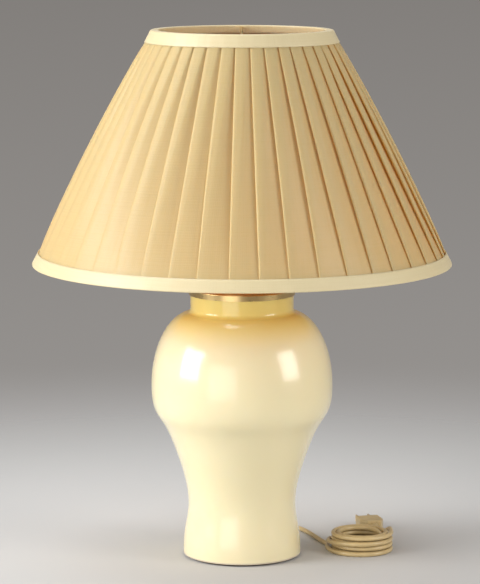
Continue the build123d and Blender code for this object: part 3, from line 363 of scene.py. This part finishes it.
# ---------------------------------------------------------------- mesh helpers
def piece_from(name, rows, material, closed, places=None):
    """A sheet through rows of points, smooth; closed joins each row's end to its start."""
    count = len(rows[0])
    faces = []
    for row in range(len(rows) - 1):
        for step in range(count if closed else count - 1):
            ahead = (step + 1) % count
            low, high = row * count, (row + 1) * count
            faces.append((low + step, low + ahead, high + ahead, high + step))
    mesh = bpy.data.meshes.new(name)
    mesh.from_pydata([point for row in rows for point in row], [], faces)
    mesh.polygons.foreach_set("use_smooth", [True] * len(faces))
    if places is not None:
        attribute = mesh.attributes.new("cloth_place", "FLOAT_VECTOR", "POINT")
        attribute.data.foreach_set("vector", [v for row in places for place in row for v in place])
    mesh.materials.append(material)
    piece = bpy.data.objects.new(name, mesh)
    bpy.context.scene.collection.objects.link(piece)
    return piece


def thicken(piece, thickness):
    """Gives a sheet its thickness, half on each side."""
    solid = piece.modifiers.new("thickness", "SOLIDIFY")
    solid.thickness = thickness
    solid.offset = 0.0
    solid.use_quality_normals = True


ROUND_STEPS = 96                # of a plain disc


def around(angle, radius, z):
    return (radius * cos(angle), radius * sin(angle), z)


# ---------------------------------------------------------------- shade
trim_low, trim_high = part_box("bottom_trim")
top_low, top_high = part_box("top_trim")
shade_bottom, shade_top = trim_low.z, top_high.z
bottom_radius = trim_high.x
shade_slope = (trim_high.x - top_high.x) / (top_low.z - trim_low.z)
slant = hypot(1, shade_slope)


def shade_radius(z, inset=0.0):
    """Radius at a height, inset inwards from the outer face of the trim."""
    return bottom_radius - inset - (z - shade_bottom) * shade_slope


PLEATS = 44
PLEAT_CLOTH = 33 * MM           # cloth in each pleat, the same from top to bottom
PLEAT_PLACE = 0.45              # of the first fold, as a share of one pleat
CLOTH_THICKNESS = 0.35 * MM
LAYER_STEP = 0.8 * MM           # from layer to layer where the tapes hold the folds flat
FULLNESS = 1.8                  # by how much that step grows half way up
PUFF = 1.6 * MM                 # by how much the fullest fold stands out further
CLOTH_INSET = 3.0 * MM          # of the innermost layer
CLOTH_MARGIN = 0.8 * MM         # from each edge of the shade
CLOTH_ROWS = 20
HELD = 1.2 / CLOTH_ROWS         # share of its height that each tape holds flat
LOOSENING = 0.6                 # power by which the layers part between the tapes
HIDDEN_LIFT = 0.6               # of the hidden layer, as a share of what they part by
EVEN_RISE = 0.55                # share of the face's rise that is even, the rest is an S
DRIFT_LOW, DRIFT_HIGH, DRIFT_BOW = 0.05, 0.08, 0.04     # of a fold, in pleats
FOLD_POINTS = 5
FACE_POINTS = 6
draw = random.Random(7)
fold_shift = [
    (draw.uniform(-1, 1), draw.uniform(-1, 1), draw.uniform(-1, 1), draw.random())
    for _ in range(PLEATS)
]


def fold_angle(number, share):
    """Angle at which a pleat starts, with the small unevenness of hand work."""
    low, high, bow, _ = fold_shift[number % PLEATS]
    drift = low * DRIFT_LOW * (1 - share) + high * DRIFT_HIGH * share
    drift += bow * DRIFT_BOW * sin(pi * share)
    return 2 * pi / PLEATS * (number + PLEAT_PLACE + drift)


def pleat_path(number, share, radius):
    """The angle of a pleat's first fold, and its points as (arc from there, height)."""
    start, end = fold_angle(number, share), fold_angle(number + 1, share)
    pitch = (end - start) * radius
    tuck = (PLEAT_CLOTH - 2 * pi * radius / PLEATS) / 2
    free = (share - HELD) / (1 - 2 * HELD)
    loose = sin(pi * max(0.0, min(1.0, free))) ** LOOSENING
    layer = LAYER_STEP * (1 + FULLNESS * loose)
    turn = layer / 2
    _, _, lean, swing = fold_shift[number]
    puff = PUFF * loose * swing ** 2
    lift = (layer - LAYER_STEP) * HIDDEN_LIFT * (1 + lean)
    open_width = pitch - tuck
    path = []
    for step in range(FOLD_POINTS):                     # inner fold, under the last pleat
        angle = pi / 2 + pi * step / (FOLD_POINTS - 1)
        path.append((-tuck + turn * cos(angle), turn * (1 + sin(angle))))
    for part in (0.35, 0.7, 1.0):                       # hidden layer against the backing
        path.append((-tuck * (1 - part), lift * part * part))
    for step in range(1, FACE_POINTS + 1):              # the face, rising over the next fold
        part = step / FACE_POINTS
        rise = EVEN_RISE * part + (1 - EVEN_RISE) * part * part * (3 - 2 * part)
        height = lift + (2 * layer - lift) * rise + puff * sin(pi * part / 2)
        path.append((open_width * part, height))
    for part in (0.33, 0.66):
        path.append((open_width + (tuck - turn) * part, 2 * layer + puff))
    for step in range(FOLD_POINTS):                     # outer fold
        angle = pi / 2 - pi * step / (FOLD_POINTS - 1)
        swell = (turn + puff / 2) * sin(angle) + 1.5 * layer + puff / 2
        path.append((pitch - turn + turn * cos(angle), swell))
    for part in (0.35, 0.7):                            # back under the face
        path.append((pitch - turn - (tuck - turn) * part, layer))
    return start, path


def pleated_cloth():
    """All the knife pleats, as one endless folded sheet."""
    rows, places = [], []
    low, high = shade_bottom + CLOTH_MARGIN, shade_top - CLOTH_MARGIN
    for row in range(CLOTH_ROWS + 1):
        share = 1 - row / CLOTH_ROWS
        z = low + (high - low) * share
        radius = shade_radius(z, CLOTH_INSET)
        points, where = [], []
        for number in range(PLEATS):
            start, path = pleat_path(number, share, radius)
            for step, (arc, height) in enumerate(path):
                points.append(around(-start - arc / radius, radius + height * slant, z))
                run = (number + step / len(path)) * PLEAT_CLOTH
                where.append((run, (z - low) * slant, 0.0))
        rows.append(points)
        places.append(where)
    return piece_from("pleated_cloth", rows, cloth_material, True, places)


cloth = pleated_cloth()
thicken(cloth, CLOTH_THICKNESS)
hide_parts("shade_pleats")
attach(cloth, "shade")

BACKING_INNER, BACKING_OUTER = 3.92 * MM, 3.52 * MM     # inset of its two lapped ends
BACKING_THICKNESS = 0.3 * MM
BACKING_LAP = 9 * MM
BACKING_STEPS = 180
BACKING_ROWS = 8


def backing_sheet():
    """The cone behind the pleats, one sheet whose ends lap at the back."""
    rows = []
    height = shade_top - shade_bottom - 2 * CLOTH_MARGIN
    for row in range(BACKING_ROWS + 1):
        z = shade_bottom + CLOTH_MARGIN + height * row / BACKING_ROWS
        lap = BACKING_LAP / shade_radius(z, BACKING_OUTER)
        points = []
        for step in range(BACKING_STEPS + 1):
            share = step / BACKING_STEPS
            inset = BACKING_INNER + (BACKING_OUTER - BACKING_INNER) * share
            angle = pi / 2 + (2 * pi + lap) * share
            points.append(around(angle, shade_radius(z, inset), z))
        rows.append(points)
    return piece_from("backing_sheet", rows, backing_material(), False)


backing = backing_sheet()
thicken(backing, BACKING_THICKNESS)
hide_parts("shade_liner")
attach(backing, "shade")

TAPE_THICKNESS = 0.5 * MM
TAPE_OUTER_INSET, TAPE_INNER_INSET = 0.35 * MM, 7.95 * MM
TAPE_OUTER_WIDTH = trim_high.z - trim_low.z - 0.1 * MM
TAPE_INNER_WIDTH = 7.9 * MM
TAPE_STEPS = 8 * PLEATS
TAPE_LAP = 7 * MM
LAP_RISE, LAP_EDGE = 0.45 * MM, 0.8 * MM    # height of the lap, and width of its slope
PRESS = 0.28 * MM               # into the pleats
PUCKER = 0.12 * MM              # of the inner edge


def tape_section():
    """The tape's middle line over an edge, as (inset, distance from the edge)."""
    bend, edge = 1.1 * MM, 0.3 * MM
    section = [(TAPE_OUTER_INSET, TAPE_OUTER_WIDTH * part) for part in (1.0, 0.85, 0.6, 0.35)]
    for step in range(5):
        angle = pi / 2 * step / 4
        inset = TAPE_OUTER_INSET + bend * (1 - cos(angle))
        section.append((inset, edge + bend * (1 - sin(angle))))
    section += [(TAPE_INNER_INSET * part, edge) for part in (0.4, 0.62)]
    for step in range(5):
        angle = pi / 2 * (1 - step / 4)
        inset = TAPE_INNER_INSET - bend * (1 - cos(angle))
        section.append((inset, edge + bend * (1 - sin(angle))))
    section += [(TAPE_INNER_INSET, TAPE_INNER_WIDTH * part) for part in (0.4, 0.7, 1.0)]
    return section


def edge_tape(name, edge_z, direction):
    """Tape folded over an edge of the shade, pressed a little into the pleats below it."""
    section = tape_section()
    rows, places, run = [], [], 0.0
    for number, (inset, away) in enumerate(section):
        if number:
            before = section[number - 1]
            run += hypot(inset - before[0], (away - before[1]) * slant)
        z = edge_z + direction * away
        on_face = max(0.0, min(1.0, (away - 1.5 * MM) / (3 * MM))) if inset < MM else 0.0
        points, where = [], []
        for step in range(TAPE_STEPS):
            angle = 2 * pi * step / TAPE_STEPS
            pleat = (-angle * PLEATS / (2 * pi) - PLEAT_PLACE) % 1.0
            press = PRESS * (1 - pleat) * on_face
            pucker = PUCKER * sin(angle * PLEATS * 2.5) * (inset > 7 * MM)
            radius = shade_radius(z, inset + press + pucker)
            beyond = abs(angle - pi / 2) * radius - TAPE_LAP
            lap = LAP_RISE * max(0.0, min(1.0, -beyond / LAP_EDGE))
            outward = lap if inset < TAPE_INNER_INSET / 2 else -lap
            points.append(around(angle, radius + outward, z))
            where.append((step / TAPE_STEPS * 2 * pi * shade_radius(edge_z), run, 0.0))
        rows.append(points)
        places.append(where)
    tape = piece_from(name, rows, tape_material, True, places)
    thicken(tape, TAPE_THICKNESS)
    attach(tape, "shade")
    return tape


bottom_tape = edge_tape("bottom_tape", shade_bottom, 1)
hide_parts("bottom_trim")
top_tape = edge_tape("top_tape", shade_top, -1)
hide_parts("top_trim")


# ---------------------------------------------------------------- felt under the foot
def felt_disc():
    """A cut disc of felt with a soft, slightly uneven edge."""
    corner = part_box("felt_pad")[1]
    radius, thickness = corner.x, corner.z
    section = [(0.0, 0.0), (0.5, 0.0), (0.93, 0.0), (0.985, 0.05), (0.997, 0.3)]
    section += [(0.997, 0.72), (0.985, 0.96), (0.93, 1.0), (0.6, 1.0), (0.0, 1.0)]
    rows = []
    for share, rise in section:     # shares of the radius and of the thickness
        points = []
        for step in range(ROUND_STEPS):
            angle = 2 * pi * step / ROUND_STEPS
            uneven = 1 + 0.003 * sin(angle * 11 + 1.0) * share
            points.append(around(angle, max(radius * share * uneven, 0.01 * MM), thickness * rise))
        rows.append(points)
    return piece_from("felt_disc", rows, felt_material, True)


felt = felt_disc()
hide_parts("felt_pad")
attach(felt, "lamp_base")

# ---------------------------------------------------------------- flex
CORD_RADIUS = 2.25 * MM
CORD_FLOOR = 2.3 * MM
COIL_CENTRE = Vector((117 * MM, 14 * MM, 0))
COIL_OUTER = 32.45 * MM
COIL_PITCH = 4.95 * MM          # from turn to turn in a layer
COIL_RISE = 5.0 * MM            # from layer to layer
COIL_TURNS = 9.5
COIL_LAYERS = 4
LAYER_TURNS = 2.5
COIL_STEPS = 16                 # points in each turn
CLIMB = 0.5                     # share of a turn in which it climbs to the next layer

bushing_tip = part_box("cord_bushing")[1].y
exit_height = sum(corner.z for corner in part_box("cord_bushing")) / 2
lead_route = [
    (0, 79.25, 10),
    (0, 95, 10),
    (9.5, 111.5, 5.4),
    (28, 119, 2.4),
    (47.5, 112, 2.35),
    (61, 93.5, 2.3),
    (71, 68, 2.35),
    (79, 42, 2.3),
    (84.55, 30.5, 2.3),
    (84.55, 18.5, 2.3),
]
tail_route = [
    (146.97, 18.5, 17.3),
    (146.97, 34.5, 17.3),
    (144.97, 50.5, 11.2),
    (139.14, 64.39, 6.25),
    (136, 77, 6.25),
]


def coil_point(turn):
    """Centre line of the coil after a number of turns from its start on the table."""
    layer, within = divmod(turn, LAYER_TURNS)
    inward = within if layer % 2 == 0 else LAYER_TURNS - within
    radius = COIL_OUTER - COIL_PITCH * inward
    nearest = round(turn / LAYER_TURNS)
    share = min(max((turn - nearest * LAYER_TURNS) / CLIMB + 0.5, 0), 1)
    height = nearest - 1 + share * share * (3 - 2 * share)
    if nearest in (0, COIL_LAYERS):
        height = min(layer, COIL_LAYERS - 1)
    angle = pi + 2 * pi * turn
    lift = Vector((radius * cos(angle), radius * sin(angle), CORD_FLOOR + height * COIL_RISE))
    return COIL_CENTRE + lift


def flex_curve(name, points):
    """A round flex along a smooth spline with those control points."""
    curve = bpy.data.curves.new(name, "CURVE")
    curve.dimensions = "3D"
    curve.bevel_depth = CORD_RADIUS
    curve.bevel_resolution = 6
    curve.resolution_u = 6
    curve.use_fill_caps = True
    spline = curve.splines.new("NURBS")
    spline.points.add(len(points) - 1)
    for control, point in zip(spline.points, points):
        control.co = (*point, 1)
    spline.order_u = 3
    spline.use_endpoint_u = True
    curve.materials.append(flex_material)
    piece = bpy.data.objects.new(name, curve)
    bpy.context.scene.collection.objects.link(piece)
    return piece


lead = [Vector(point) * MM for point in lead_route]
tail = [Vector(point) * MM for point in tail_route]
turns = [coil_point(step / COIL_STEPS) for step in range(round(COIL_STEPS * COIL_TURNS) + 1)]
flex = flex_curve("flex", lead + turns + tail)
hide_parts("cord_lead", "cord_coil", "cord_tail")
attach(flex, "lamp_base")

inside_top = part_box("inner_cord")[1].z
inside_bend = 36 * MM
inside_route = [
    (0, bushing_tip, exit_height),
    (0, inside_bend, exit_height),
    (0, 0, exit_height),
    (0, 0, exit_height + inside_bend),
    (0, 0, inside_top),
]
inside_flex = flex_curve("flex_inside", inside_route)
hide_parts("inner_cord")
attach(inside_flex, "lamp_base")


# ---------------------------------------------------------------- table, backdrop and light
def round_table():
    """A wide round sheet of paper, flat on the table."""
    rows = []
    for radius in (0.01, 0.1, 0.3, 0.6, 1.0, 1.6, 2.4):
        angles = [2 * pi * step / ROUND_STEPS for step in range(ROUND_STEPS)]
        rows.append([around(angle, radius, 0.0) for angle in angles])
    return piece_from("paper_table", rows, floor_material(), True)


round_table()


def soft_box(name, place, size, power, colour=(1, 1, 1), aim=(0, 0, 0.28)):
    """A rectangular lamp, in watts, that lights the scene but isn't seen itself."""
    data = bpy.data.lights.new(name, "AREA")
    data.shape = "RECTANGLE"
    data.size, data.size_y = size
    data.energy = power
    data.color = colour
    lamp = bpy.data.objects.new(name, data)
    lamp.location = place
    toward = Vector(aim) - Vector(place)
    lamp.rotation_euler = toward.to_track_quat("-Z", "Y").to_euler()
    lamp.visible_camera = False
    bpy.context.scene.collection.objects.link(lamp)


soft_box("key_light", (-1.9, -0.65, 0.92), (1.1, 1.3), 45)
soft_box("right_fill", (1.9, -0.9, 0.85), (0.9, 1.1), 21, colour=(1, 0.96, 0.9))
soft_box("front_light", (-0.8, -1.7, 0.35), (1.2, 1.0), 8, aim=(0, 0, 0.2))
soft_box("top_light", (-0.5, 0.5, 1.9), (1.2, 1.2), 16, aim=(0, 0, 0.3))


def studio_world():
    """Even light from all round, and the grey backdrop where the world itself is seen."""
    world = bpy.data.worlds.new("studio")
    world.use_nodes = True
    tree = world.node_tree
    light = tree.nodes["Background"]
    light.inputs["Color"].default_value = (*SKY, 1)
    light.inputs["Strength"].default_value = SKY_STRENGTH
    direction = tree.nodes.new("ShaderNodeTexCoord").outputs["Generated"]
    upward = add_node(tree, "SeparateXYZ", {"Vector": direction}).outputs["Z"]
    rise = {"Value": upward, "From Min": BACKDROP_RISE[0], "From Max": BACKDROP_RISE[1]}
    height = add_node(tree, "MapRange", rise).outputs["Result"]
    grey = ramp(tree, height, [(0.0, BACKDROP_LOW), (1.0, BACKDROP_HIGH)])
    backdrop = add_node(tree, "Background", {"Color": grey, "Strength": 1.0})
    shaders = {1: light.outputs["Background"], 2: backdrop.outputs["Background"]}
    mixed = add_node(tree, "MixShader", {0: looking_rays(tree), **shaders})
    tree.links.new(mixed.outputs["Shader"], tree.nodes["World Output"].inputs["Surface"])
    return world


bpy.context.scene.world = studio_world()
bpy.context.scene.view_settings.view_transform = "Standard"
